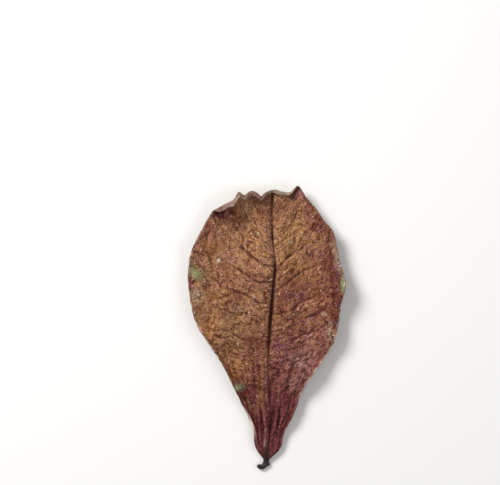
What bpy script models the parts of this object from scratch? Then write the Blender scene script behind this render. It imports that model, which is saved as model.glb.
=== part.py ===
"""A dried Indian almond leaf, lying upper side up on a flat surface.

The leaf is one solid. Its blade is a grid in leaf coordinates: "along" is the distance in
millimetres up the midrib from the stalk, and "across" runs along the side veins, from -1 at the
left margin over 0 at the midrib to 1 at the right margin. Formulas lay that grid out in plan, give
it the relief of a leaf that has dried and curled, and roll its broad tip up and over. Lengths are
in millimetres until points are placed in a mesh.
"""

import bmesh
import bpy
import numpy as np

MM = 0.001

# The midrib: distances along it, and the point in plan that it passes at each.
MIDRIB = (
    (0, -0.7, -3.5), (12, -0.2, 12), (28, 0.4, 28), (72, 0.7, 72), (94, 1.9, 94), (120, 4.1, 120),
    (137, 5.4, 137), (160, 3.8, 160), (180, 3.6, 180), (198.5, 3.7, 198.5),
)
MIDRIB_LENGTH = 198.5

# Each margin, flattened out: where a vein line leaves the midrib, and where it meets the margin.
LEFT_MARGIN = (
    (0, -2.3, -3.5), (7, -8, 4.5), (18, -11.2, 23), (31, -18.5, 41), (48, -31, 66),
    (66, -42.5, 82.5), (83, -52.8, 99), (98, -57.4, 120), (113, -58.4, 137), (130, -54, 156),
    (141, -43.5, 176), (150, -36.5, 186), (160, -27, 192.6), (172, -17, 196.8),
    (186, -8.5, 199.3), (198.5, -1, 200.2),
)
RIGHT_MARGIN = (
    (0, 1.2, -3.5), (6, 8.4, 3.5), (18, 12.3, 17), (30, 19, 30), (42, 25.6, 48),
    (52, 33, 60), (66, 45.5, 77), (83, 52, 96), (98, 54.2, 112), (110, 57.4, 129),
    (118, 53.2, 143.5), (125, 50.8, 157), (132, 48, 166.5), (140, 42, 173), (150, 37, 181),
    (160, 30.5, 188.3), (172, 23.6, 195.4), (186, 16, 198.5), (198.5, 8.6, 200),
)
VEIN_RISE = 1.4

# Where the side veins leave the midrib, on each side, and those that stand out most.
LEFT_VEINS = (14, 30, 48, 66, 83, 98, 113, 130, 140, 159, 174)
RIGHT_VEINS = (14, 30, 48, 66, 83, 98, 109, 124, 140, 159, 174)
STRONG_VEINS = (48, 66, 83, 98, 109, 113, 124, 130, 140)

# The broad tip rolls up and over along a crest, which is a parabola with lobes on it.
CREST_TOP = 192.6
CREST_MIDDLE = 6
CREST_FALL = 0.0067
LOBES = ((-21, 4.6, 2.6), (-12, 2.6, 4), (-4.5, -2.6, 2.4), (5, 1.4, 4), (22.5, 6.2, 3.6))
LOBE_START = 150
LOBE_END = 188
ROLL_RADIUS = 2.4
ROLL_TURN = np.radians(165)

# The curl of the dried blade, as heights.
ARCH = 4.2
SHOULDER = 1.5
HOLLOW = 1.6
DEEP_HOLLOW = 3.1
TURNED_UP_LEFT = 5.2
TURNED_UP_RIGHT = 5.8
FLARE = 3.4
MARGIN_WAVE = 1.2
TIP_LIFT = 2.4
POCKET = 1.6
NARROWEST_CURL = 3
FULL_CURL = 34

# The relief of the blade, as heights.
SWELL = 1.5
MIDRIB_GROOVE = 0.9
MIDRIB_RIDGE = 1
PLEAT = 0.85
PLEATS_ACROSS = 2.6
SMALL_PUCKER = 0.34
LARGE_PUCKER = 0.42

# The two spots that the blade rests on, in plan, and how far they and the stalk are pressed flat.
REST_SPOTS = ((-30, 149), (33, 147))
REST_SPOT_SIZE = 12
REST_SPOT_DEPTH = 0.7
BLADE_PRESSED = 0.8
STALK_PRESSED = 0.45

# Thickness of the blade, and how far the midrib and the side veins stand out below it.
BLADE = 0.64
MIDRIB_DEPTH = 2.3
MIDRIB_HALF_WIDTH = 2.4
VEIN_DEPTH = 0.75
VEIN_HALF_WIDTH = 1.1

# The stalk: points of its centre line, and its radius at each. It leaves the midrib as deep in it
# as STALK_SUNK, and drops from there to the surface.
STALK = (
    (-0.2, 16, 1.1), (-0.3, 8, 1.7), (-0.4, 1, 2.1), (-0.7, -3.5, 2), (-1.6, -7, 1.8),
    (-3.6, -8.9, 1.7), (-5.6, -8.3, 1.8), (-6.3, -6.9, 1.5),
)
STALK_POINTS = 15
STALK_SUNK = 1.6
STALK_DROP = 1.6

# Spacing of the grid, which is closer towards the tip.
COLUMNS = 38
ROW_SPACING = 5
TIP_ROW_SPACING = 2
TIP_ROWS_FROM = 176

LEAF_COLOUR = (0.33, 0.135, 0.055, 1)
LEAF_ROUGHNESS = 0.62


def clear_scene():
    for thing in list(bpy.data.objects):
        bpy.data.objects.remove(thing, do_unlink=True)


def smooth(knots, values, at):
    """A cubic through the values, whose slope at each knot is that of a parabola through three."""
    knots = np.asarray(knots, float)
    values = np.asarray(values, float)
    slopes = np.gradient(values, knots)
    stretch = np.clip(np.searchsorted(knots, at) - 1, 0, len(knots) - 2)
    length = knots[stretch + 1] - knots[stretch]
    part = (at - knots[stretch]) / length
    start = values[stretch] * (1 + 2 * part) * (1 - part) ** 2
    end = values[stretch + 1] * part**2 * (3 - 2 * part)
    leaving = slopes[stretch] * length * part * (1 - part) ** 2
    arriving = slopes[stretch + 1] * length * part**2 * (part - 1)
    return start + end + leaving + arriving


def bump(value, centre, width):
    """A bell of height 1."""
    return np.exp(-(((value - centre) / width) ** 2))


def ramp(value, start, end):
    """0 before start, 1 after end, and smooth between them."""
    part = np.clip((value - start) / (end - start), 0, 1)
    return part * part * (3 - 2 * part)


def by_side(across, left, right):
    return np.where(across < 0, left, right)


def on_line(line, along):
    """The plan point of a midrib or margin list at each distance along the midrib."""
    knots, x, y = zip(*line)
    return smooth(knots, x, along), smooth(knots, y, along)


def margin_point(along, across):
    """The margin's plan point on each grid point's own side."""
    left_x, left_y = on_line(LEFT_MARGIN, along)
    right_x, right_y = on_line(RIGHT_MARGIN, along)
    return by_side(across, left_x, right_x), by_side(across, left_y, right_y)


def lobes(x):
    return sum(height * bump(x, centre, width) for centre, height, width in LOBES)


def plan(along, across):
    """The flat leaf: each vein line starts square to the midrib and swings up to the margin."""
    mid_x, mid_y = on_line(MIDRIB, along)
    edge_x, edge_y = margin_point(along, across)
    x = mid_x + (edge_x - mid_x) * abs(across)
    y = mid_y + (edge_y - mid_y) * abs(across) ** VEIN_RISE
    return x, y + lobes(x) * ramp(y, LOBE_START, LOBE_END)


def crest(x):
    """The line across the leaf from which its tip rolls up."""
    return CREST_TOP - CREST_FALL * (x - CREST_MIDDLE) ** 2 + lobes(x)


def between_veins(along, veins):
    """0 on each side vein and 1 midway between two."""
    edges = np.array((-10,) + veins + (MIDRIB_LENGTH + 8,), float)
    stretch = np.clip(np.searchsorted(edges, along) - 1, 0, len(edges) - 2)
    part = (along - edges[stretch]) / (edges[stretch + 1] - edges[stretch])
    return np.sin(np.pi * part)


def near_veins(along, veins):
    """1 on each side vein, falling to 0 at its half width."""
    gap = np.min([abs(along - vein) for vein in veins], axis=0)
    return np.clip(1 - gap / VEIN_HALF_WIDTH, 0, 1)


def rest_spots(x, y):
    """1 in the middle of each spot that the leaf lies on, and 0 away from them."""
    return sum(bump(np.hypot(x - spot_x, y - spot_y), 0, REST_SPOT_SIZE) for spot_x, spot_y in REST_SPOTS)


def curl(along, across):
    """The bend of the whole leaf: an arched midrib, a hollow on each side, and turned-up margins.

    All but the arch fades where the blade is narrow, towards the stalk and the tip."""
    out = abs(across)
    mid_x, mid_y = on_line(MIDRIB, along)
    edge_x, edge_y = margin_point(along, across)
    room = ramp(abs(edge_x - mid_x), NARROWEST_CURL, FULL_CURL)
    arch = ARCH * np.sin(np.pi * np.clip((along + 14) / 236, 0, 1))
    shoulder = SHOULDER * bump(out, 0.2, 0.14) * ramp(along, 40, 90)
    hollow = HOLLOW + DEEP_HOLLOW * bump(along, by_side(across, 134, 128), 42)
    hollow = hollow * bump(out, by_side(across, 0.6, 0.56), 0.26)
    turned = by_side(across, TURNED_UP_LEFT, TURNED_UP_RIGHT) * np.clip((out - 0.62) / 0.38, 0, 1) ** 2
    flared = FLARE * ramp(out, 0.84, 1) * by_side(across, bump(along, 60, 22), bump(along, 112, 20))
    waves = MARGIN_WAVE * out**4 * by_side(across, np.sin(along / 4.9 + 0.6), np.sin(along / 4.4 + 2.2))
    return arch + room * (shoulder - hollow + turned + flared + waves)


def pleats(across, y):
    """Folds that run together towards the stalk."""
    depth = PLEAT * ramp(y, 4, 34) * (1 - ramp(y, 62, 104)) * (1 - 0.4 * abs(across))
    return depth * np.cos(2 * np.pi * (PLEATS_ACROSS * abs(across) + 0.16 * across))


def puckers(x, y):
    """Small uneven swellings: sines of unlike lengths, each bent by another."""
    small = np.sin(x / 3.1 + 1.3 * np.sin(y / 9.7)) * np.sin(y / 3.7 + 0.9 * np.sin(x / 8.3))
    large = np.sin((x + y) / 5.3 + 0.7) * np.sin((x - 0.8 * y) / 4.6 + 1.9)
    return SMALL_PUCKER * small + LARGE_PUCKER * large


def height(along, across, x, y):
    """Height of the upper face, before the tip rolls."""
    out = abs(across)
    swell = by_side(across, between_veins(along, LEFT_VEINS), between_veins(along, RIGHT_VEINS))
    swell = SWELL * swell * ramp(out, 0, 0.22) * (1 - ramp(out, 0.8, 1)) * ramp(along, 20, 60)
    mid_x, mid_y = on_line(MIDRIB, along)
    groove = MIDRIB_GROOVE * bump(x, mid_x, 2) * ramp(y, 40, 70)
    ridge = MIDRIB_RIDGE * bump(x, mid_x, 1.8) * (1 - ramp(y, 30, 62))
    small = puckers(x, y) * ramp(out, 0, 0.15) * ramp(y, 20, 60)
    pocket = POCKET * bump(x, -27, 8) * bump(y, 178, 7)
    lift = TIP_LIFT * ramp(y, 168, 196)
    spots = rest_spots(x, y)
    relief = pleats(across, y) - groove + ridge - pocket - REST_SPOT_DEPTH * spots
    return curl(along, across) + lift + relief + (1 - spots) * (swell + small)


def rolled(x, y, z):
    """What lies beyond the crest turns up round an arc, and then runs straight back over the blade."""
    beyond = np.maximum(y - crest(x), 0)
    turn = np.minimum(beyond / ROLL_RADIUS, ROLL_TURN)
    rest = beyond - turn * ROLL_RADIUS
    y = y - beyond + ROLL_RADIUS * np.sin(turn) + rest * np.cos(turn)
    z = z + ROLL_RADIUS * (1 - np.cos(turn)) + rest * np.sin(turn)
    return np.stack([x, y, z], axis=1)


def rib_depth(along, across, x, y):
    """How far the midrib and the side veins stand out below the blade."""
    out = abs(across)
    mid_x, mid_y = on_line(MIDRIB, along)
    taper = 1 - 0.85 * ramp(along, 0, 190)
    half_width = MIDRIB_HALF_WIDTH * (0.45 + 0.55 * taper)
    midrib = MIDRIB_DEPTH * taper * np.clip(1 - ((x - mid_x) / half_width) ** 2, 0, 1)
    side = by_side(across, near_veins(along, LEFT_VEINS), near_veins(along, RIGHT_VEINS))
    side = VEIN_DEPTH * side * (1 - 0.8 * out) * (1 - ramp(out, 0.85, 0.97)) * (1 - rest_spots(x, y))
    return np.maximum(midrib, side) * (1 - ramp(along, 184, 196))


def row_places():
    """Rows of the grid: three on each strong vein, one on each faint one, and more between them."""
    fixed = {0.0, MIDRIB_LENGTH, TIP_ROWS_FROM, *LEFT_VEINS, *RIGHT_VEINS}
    for vein in STRONG_VEINS:
        fixed.update((vein - VEIN_HALF_WIDTH, vein + VEIN_HALF_WIDTH))
    fixed = sorted(fixed)
    rows = [fixed[0]]
    for start, end in zip(fixed, fixed[1:]):
        spacing = TIP_ROW_SPACING if start >= TIP_ROWS_FROM else ROW_SPACING
        steps = max(1, int(np.ceil((end - start) / spacing)))
        rows.extend(np.linspace(start, end, steps + 1)[1:])
    return np.array(rows)


def column_places():
    """Columns of the grid: even, but closer beside the midrib."""
    even = np.linspace(-1, 1, COLUMNS + 1)
    return even * (1 - 0.5 * (1 - abs(even)) ** 4)


def points_of(mesh):
    flat = np.empty(len(mesh.vertices) * 3)
    mesh.vertices.foreach_get("co", flat)
    return flat.reshape(-1, 3)


def place_points(mesh, points):
    mesh.vertices.foreach_set("co", np.ascontiguousarray(points, float).ravel())
    mesh.update()


def settled(source, name):
    """A new plain mesh object of what an object looks like with its modifiers, which then goes."""
    graph = bpy.context.evaluated_depsgraph_get()
    mesh = bpy.data.meshes.new_from_object(source.evaluated_get(graph), depsgraph=graph)
    made = bpy.data.objects.new(name, mesh)
    made.matrix_world = source.matrix_world.copy()
    source.users_collection[0].objects.link(made)
    bpy.data.objects.remove(source, do_unlink=True)
    return made


def make_blade(collection):
    """A triangulated grid bent to the upper face, and given its thickness and ribs below."""
    rows = row_places()
    columns = column_places()
    mesh = bpy.data.meshes.new("blade")
    grid = bmesh.new()
    bmesh.ops.create_grid(grid, x_segments=len(columns) - 1, y_segments=len(rows) - 1, size=1)
    bmesh.ops.triangulate(grid, faces=grid.faces, quad_method="FIXED")
    grid.to_mesh(mesh)
    grid.free()
    blade = bpy.data.objects.new("blade", mesh)
    collection.objects.link(blade)

    place = points_of(mesh)
    across = columns[np.rint((place[:, 0] + 1) / 2 * (len(columns) - 1)).astype(int)]
    along = rows[np.rint((place[:, 1] + 1) / 2 * (len(rows) - 1)).astype(int)]
    x, y = plan(along, across)
    place_points(mesh, rolled(x, y, height(along, across, x, y)) * MM)

    wall = blade.modifiers.new("wall", "SOLIDIFY")
    wall.thickness = BLADE * MM
    wall.offset = -1
    blade = settled(blade, "blade")
    upper, lower = np.split(points_of(blade.data), 2)
    lower[:, 2] -= rib_depth(along, across, x, y) * MM
    place_points(blade.data, np.concatenate([upper, lower]))
    return blade


def make_stalk(collection):
    """A tapered tube along the stalk's centre line, whose upper end lies inside the midrib."""
    line = np.array(STALK, float)
    knots = np.arange(len(line))
    at = np.linspace(0, len(line) - 1, STALK_POINTS)
    x = smooth(knots, line[:, 0], at)
    y = smooth(knots, line[:, 1], at)
    radius = smooth(knots, line[:, 2], at)
    inside_x, inside_y = line[1, :2]
    midrib_top = height(inside_y, 0, inside_x, inside_y)
    z = midrib_top - STALK_SUNK - STALK_DROP * ramp(y, 14, -6)
    curve = bpy.data.curves.new("stalk", "CURVE")
    curve.dimensions = "3D"
    curve.bevel_depth = MM
    curve.bevel_resolution = 2
    curve.use_fill_caps = True
    spline = curve.splines.new("POLY")
    spline.points.add(STALK_POINTS - 1)
    centres = np.stack([x * MM, y * MM, z * MM, np.ones(STALK_POINTS)], axis=1)
    spline.points.foreach_set("co", centres.ravel())
    spline.points.foreach_set("radius", radius)
    stalk = bpy.data.objects.new("stalk", curve)
    collection.objects.link(stalk)
    stalk = settled(stalk, "stalk")
    tube = bmesh.new()
    tube.from_mesh(stalk.data)
    bmesh.ops.remove_doubles(tube, verts=tube.verts, dist=0.00001)
    bmesh.ops.recalc_face_normals(tube, faces=tube.faces)
    tube.to_mesh(stalk.data)
    tube.free()
    return stalk


def lowest(points, chosen):
    found = points[chosen]
    return found[np.argmin(found[:, 2])]


def let_down(blade, stalk):
    """Tips the leaf onto its two hollows and its stalk, and presses flat what touches."""
    sheet = points_of(blade.data)
    tube = points_of(stalk.data)
    upper, lower = np.split(sheet, 2)
    beyond_middle = lower[:, 1] > 100 * MM
    left_foot = lowest(lower, beyond_middle & (lower[:, 0] < -12 * MM))
    right_foot = lowest(lower, beyond_middle & (lower[:, 0] > 18 * MM))
    feet = np.array([left_foot, right_foot, lowest(tube, tube[:, 1] < 0)])
    surface = feet[:, 2] + np.array([BLADE_PRESSED, BLADE_PRESSED, STALK_PRESSED]) * MM
    slope_x, slope_y, level = np.linalg.solve(np.c_[feet[:, :2], np.ones(3)], surface)
    for points in (upper, lower, tube):
        points[:, 2] -= slope_x * points[:, 0] + slope_y * points[:, 1] + level
    pressed = np.maximum(-lower[:, 2], 0)
    upper[:, 2] += pressed
    lower[:, 2] += pressed
    tube[:, 2] = np.maximum(tube[:, 2], 0)
    place_points(blade.data, sheet)
    place_points(stalk.data, tube)


def joined(body, addition, name):
    union = body.modifiers.new("union", "BOOLEAN")
    union.operation = "UNION"
    union.solver = "EXACT"
    union.object = addition
    body = settled(body, name)
    bpy.data.objects.remove(addition, do_unlink=True)
    return body


def centre_on_origin(leaf):
    """Puts the origin under the middle of the leaf's box."""
    points = points_of(leaf.data)
    middle = (points.min(axis=0) + points.max(axis=0)) / 2
    points[:, :2] -= middle[:2]
    place_points(leaf.data, points)


def leaf_material():
    material = bpy.data.materials.new("dried leaf")
    material.use_nodes = True
    surface = material.node_tree.nodes["Principled BSDF"]
    surface.inputs["Base Color"].default_value = LEAF_COLOUR
    surface.inputs["Roughness"].default_value = LEAF_ROUGHNESS
    surface.inputs["Metallic"].default_value = 0
    return material


def main():
    clear_scene()
    collection = bpy.data.collections.new("indian almond leaf")
    bpy.context.scene.collection.children.link(collection)
    blade = make_blade(collection)
    stalk = make_stalk(collection)
    let_down(blade, stalk)
    leaf = joined(blade, stalk, "leaf")
    centre_on_origin(leaf)
    leaf.data.materials.clear()
    leaf.data.materials.append(leaf_material())
    leaf.data.shade_smooth()
    leaf.data.set_sharp_from_angle(angle=np.radians(50))


main()
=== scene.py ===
"""The looks of a dried Indian almond leaf, lying upper side up on a pale floor.

The leaf's blade is worked out on a fine grid in leaf coordinates and bent by formulas: "along" is the
distance in millimetres up the midrib from the stalk, and "across" runs along the side veins, from -1
at the left margin over 0 at the midrib to 1 at the right margin. "out" is across without its sign, and
x and y are the plan of the leaf, with y up it. Lengths are in millimetres until a mesh is made.
"""

import bpy
import numpy as np
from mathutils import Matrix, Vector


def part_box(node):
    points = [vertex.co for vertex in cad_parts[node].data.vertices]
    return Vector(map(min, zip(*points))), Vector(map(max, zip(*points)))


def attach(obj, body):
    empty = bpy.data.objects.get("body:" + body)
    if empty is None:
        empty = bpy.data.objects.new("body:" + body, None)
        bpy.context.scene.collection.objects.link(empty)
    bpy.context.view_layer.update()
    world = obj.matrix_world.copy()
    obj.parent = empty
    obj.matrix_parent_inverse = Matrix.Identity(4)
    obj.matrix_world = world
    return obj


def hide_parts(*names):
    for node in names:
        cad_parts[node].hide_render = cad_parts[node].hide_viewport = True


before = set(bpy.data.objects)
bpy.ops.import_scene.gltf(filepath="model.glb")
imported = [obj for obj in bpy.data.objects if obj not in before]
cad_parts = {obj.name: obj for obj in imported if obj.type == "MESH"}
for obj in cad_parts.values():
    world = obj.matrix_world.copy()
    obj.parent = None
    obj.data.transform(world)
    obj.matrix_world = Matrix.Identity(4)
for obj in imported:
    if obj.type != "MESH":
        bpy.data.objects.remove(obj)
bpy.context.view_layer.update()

MM = 0.001


# The camera, straight above the leaf as the photograph was taken, with a long lens. One pixel of the
# photograph is 0.74 mm of the leaf, and the middle of the leaf's box lies at pixel 266.5, 328. Its
# distance, in metres, is from the level where most of the blade lies.
PIXEL = 0.74 * MM
LEAF_PIXEL = (266.5, 328)
PHOTO_SIZE = (500, 485)
CAMERA_ABOVE_LEAF = 1.5
LEVEL_OF_LEAF = 6 * MM
SENSOR = 36
MIDDLE_OF_VIEW = (
    (PHOTO_SIZE[0] / 2 - LEAF_PIXEL[0]) * PIXEL,
    (LEAF_PIXEL[1] - PHOTO_SIZE[1] / 2) * PIXEL,
)

camera = bpy.data.objects.new("camera", bpy.data.cameras.new("camera"))
camera.data.sensor_width = SENSOR
camera.data.lens = SENSOR * CAMERA_ABOVE_LEAF / (PHOTO_SIZE[0] * PIXEL)
camera.location = (*MIDDLE_OF_VIEW, CAMERA_ABOVE_LEAF + LEVEL_OF_LEAF)
bpy.context.scene.collection.objects.link(camera)
bpy.context.scene.camera = camera
bpy.context.scene.view_settings.view_transform = "Standard"


# The floor is a plain pale sheet, and the light is that of a small studio: one wide soft lamp over
# the leaf's upper left, a weak one opposite, and an even pale surround. Each lamp has its place and
# its width in metres, and its power in watts.
FLOOR_COLOUR = "#EDEBE7"
FLOOR_ROUGHNESS = 0.9
FLOOR_SIDE = 6
LAMPS = (
    ("key", (-0.75, 0.78, 0.9), 0.6, 21),
    ("fill", (0.9, -0.4, 0.9), 0.9, 4),
)
SURROUND = "#F4F5F8"
SURROUND_STRENGTH = 0.42


def linear(code):
    """The linear colour, with alpha, of an sRGB hex code."""
    parts = [int(code[i : i + 2], 16) / 255 for i in (1, 3, 5)]
    return (*(v / 12.92 if v <= 0.04045 else ((v + 0.055) / 1.055) ** 2.4 for v in parts), 1)


def new_material(name):
    """A new material, its node tree, and the sockets of its Principled BSDF."""
    material = bpy.data.materials.new(name)
    material.use_nodes = True
    return material, material.node_tree, material.node_tree.nodes["Principled BSDF"].inputs


paper, tree, surface = new_material("matt paper backdrop")
surface["Base Color"].default_value = linear(FLOOR_COLOUR)
surface["Roughness"].default_value = FLOOR_ROUGHNESS
floor_mesh = bpy.data.meshes.new("floor")
corner = FLOOR_SIDE / 2
floor_corners = [(-corner, -corner, 0), (corner, -corner, 0), (corner, corner, 0), (-corner, corner, 0)]
floor_mesh.from_pydata(floor_corners, [], [(0, 1, 2, 3)])
floor_mesh.materials.append(paper)
floor = bpy.data.objects.new("floor", floor_mesh)
bpy.context.scene.collection.objects.link(floor)

for name, place, side, power in LAMPS:
    lamp = bpy.data.objects.new(name, bpy.data.lights.new(name, "AREA"))
    lamp.data.shape = "DISK"
    lamp.data.size = side
    lamp.data.energy = power
    lamp.location = place
    lamp.rotation_euler = (-lamp.location).to_track_quat("-Z", "Y").to_euler()
    bpy.context.scene.collection.objects.link(lamp)

world = bpy.data.worlds.new("studio surround")
world.use_nodes = True
world.node_tree.nodes["Background"].inputs["Color"].default_value = linear(SURROUND)
world.node_tree.nodes["Background"].inputs["Strength"].default_value = SURROUND_STRENGTH
bpy.context.scene.world = world


# The blade: one leathery leaf, half a millimetre thick, with its midrib and side veins grown into it.
# It has dried and curled: sunken veins, swellings between them, pleats that run together at the
# stalk, turned-up waved margins, and a broad tip that has rolled up and over.

# Its plan comes first. The midrib and each margin are lists of the distance along the midrib and the
# point in plan that the line passes there. The margins are a little ragged, and the right one has a
# notch. The crest, along which the tip rolls up, is a parabola with lobes. Each lobe, and each flap of
# the rolled part that hangs down further, is a bell: its middle, its height and its width.
MIDRIB = (
    (0, -0.7, -3.5), (12, -0.2, 12), (28, 0.4, 28), (72, 0.7, 72), (94, 1.9, 94), (120, 4.1, 120),
    (137, 5.4, 137), (160, 3.8, 160), (180, 3.6, 180), (198.5, 3.7, 198.5),
)
MIDRIB_LENGTH = 198.5
LEFT_MARGIN = (
    (0, -2.3, -3.5), (7, -8, 4.5), (18, -11.4, 22), (31, -20, 41), (48, -32.2, 66),
    (66, -42.5, 82.5), (83, -52.8, 99), (98, -57.4, 120), (113, -58.4, 137), (130, -54, 156),
    (141, -43.5, 176), (150, -36.5, 186), (160, -27, 192.6), (172, -17, 196.8),
    (186, -8.5, 199.3), (198.5, -1, 200.2),
)
RIGHT_MARGIN = (
    (0, 1.2, -3.5), (6, 8.4, 3.5), (18, 12.3, 17), (30, 19, 30), (42, 25.6, 48),
    (52, 33, 60), (66, 45.5, 77), (83, 52, 96), (98, 54.2, 112), (110, 57.4, 129),
    (118, 53.2, 143.5), (125, 50.8, 157), (132, 48, 166.5), (140, 42, 173), (150, 37, 181),
    (160, 30.5, 188.3), (172, 23.6, 195.4), (186, 16, 198.5), (198.5, 8.6, 200),
)
VEIN_RISE = 1.4
RAGGED = 0.35
NOTCH = (63.5, 1.3, 1.5)
CREST_TOP = 193
CREST_MIDDLE = 6
CREST_FALL = 0.0067
LOBES = ((-21, 4.6, 2.6), (-12, 2.6, 4), (-4.5, -2.6, 2.4), (5, 1.4, 4), (22.5, 6.2, 3.6))
LOBE_START = 150
LOBE_END = 188
FLAPS = ((-34, 2.6, 5), (-24, 2.2, 4.5), (-13, 0.4, 5), (5, 0.6, 3))
REST_SPOTS = ((-30, 149), (33, 147))
REST_SPOT_SIZE = 12
ROWS = 292
COLUMNS = 160
CLOSER_AT_MIDRIB = 0.4
CELLS = 64
TO_FULL_HEIGHT = 1.6


def smooth(knots, values, at):
    """A cubic through the values, whose slope at each knot is that of a parabola through three."""
    knots = np.asarray(knots, float)
    values = np.asarray(values, float)
    slopes = np.gradient(values, knots)
    stretch = np.clip(np.searchsorted(knots, at) - 1, 0, len(knots) - 2)
    length = knots[stretch + 1] - knots[stretch]
    part = (at - knots[stretch]) / length
    start = values[stretch] * (1 + 2 * part) * (1 - part) ** 2
    end = values[stretch + 1] * part**2 * (3 - 2 * part)
    leaving = slopes[stretch] * length * part * (1 - part) ** 2
    arriving = slopes[stretch + 1] * length * part**2 * (part - 1)
    return start + end + leaving + arriving


def bump(value, centre, width):
    """A bell of height 1: e to the minus square of the distance from the centre in widths."""
    return np.exp(-(((value - centre) / width) ** 2))


def bells(value, rows):
    """The sum of bells, each given as its middle, its height and its width."""
    return sum(height * bump(value, middle, width) for middle, height, width in rows)


def ramp(value, start, end):
    """0 before start, 1 after end, and between them the cubic that starts and ends level."""
    part = np.clip((value - start) / (end - start), 0, 1)
    return part * part * (3 - 2 * part)


def noise(place_x, place_y, size, seed):
    """Gradient noise, about -1 to 1: each corner of a square lattice has a seeded slope, and a point
    mixes the heights that its cell's four corner slopes give it, by quintic weights. The lattice is
    turned and moved by the seed, so that no two noises line up, and repeats after CELLS."""
    angles = np.random.default_rng(seed).uniform(0, 2 * np.pi, (CELLS, CELLS))
    turn = 0.6 + seed
    u = (np.cos(turn) * place_x - np.sin(turn) * place_y) / size + 7.3 * seed
    v = (np.sin(turn) * place_x + np.cos(turn) * place_y) / size + 3.1 * seed
    cell_u, cell_v = np.floor(u).astype(int), np.floor(v).astype(int)
    part_u, part_v = u - cell_u, v - cell_v
    weight_u = part_u**3 * (part_u * (6 * part_u - 15) + 10)
    weight_v = part_v**3 * (part_v * (6 * part_v - 15) + 10)
    total = 0
    for du, share_u in ((0, 1 - weight_u), (1, weight_u)):
        for dv, share_v in ((0, 1 - weight_v), (1, weight_v)):
            angle = angles[(cell_u + du) % CELLS, (cell_v + dv) % CELLS]
            slope = np.cos(angle) * (part_u - du) + np.sin(angle) * (part_v - dv)
            total = total + share_u * share_v * slope
    return TO_FULL_HEIGHT * total


even = np.linspace(-1, 1, COLUMNS + 1)
columns = even * (1 - CLOSER_AT_MIDRIB * (1 - abs(even)) ** 4)
along, across = np.meshgrid(np.linspace(0, MIDRIB_LENGTH, ROWS + 1), columns, indexing="ij")
out = abs(across)
right = across > 0


def on_line(line):
    """The plan point of a midrib or margin list on every row."""
    knots, line_x, line_y = zip(*line)
    return smooth(knots, line_x, along), smooth(knots, line_y, along)


def by_side(left_value, right_value):
    """The one value left of the midrib, and the other right of it."""
    return np.where(across < 0, left_value, right_value)


# Each vein line starts square to the midrib and swings up to the margin.
mid_x, mid_y = on_line(MIDRIB)
left_x, left_y = on_line(LEFT_MARGIN)
right_x, right_y = on_line(RIGHT_MARGIN)
width = abs(by_side(left_x, right_x) - mid_x)
ragged = RAGGED * noise(along, 40 * np.sign(across), 3.2, 3) * out**12 * ramp(width, 6, 20)
notch = bells(along, [NOTCH]) * right * out**10
x = mid_x + (by_side(left_x, right_x) - mid_x) * out + np.sign(across) * (ragged - notch)
y = mid_y + (by_side(left_y, right_y) - mid_y) * out**VEIN_RISE
y = y + bells(x, LOBES) * ramp(y, LOBE_START, LOBE_END)
crest = CREST_TOP - CREST_FALL * (x - CREST_MIDDLE) ** 2 + bells(x, LOBES)
y = y + bells(x, FLAPS) * ramp(y - crest, -2, 5)
from_midrib = out * width
from_margin = (1 - out) * width
spots = sum(bump(np.hypot(x - spot_x, y - spot_y), 0, REST_SPOT_SIZE) for spot_x, spot_y in REST_SPOTS)

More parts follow.
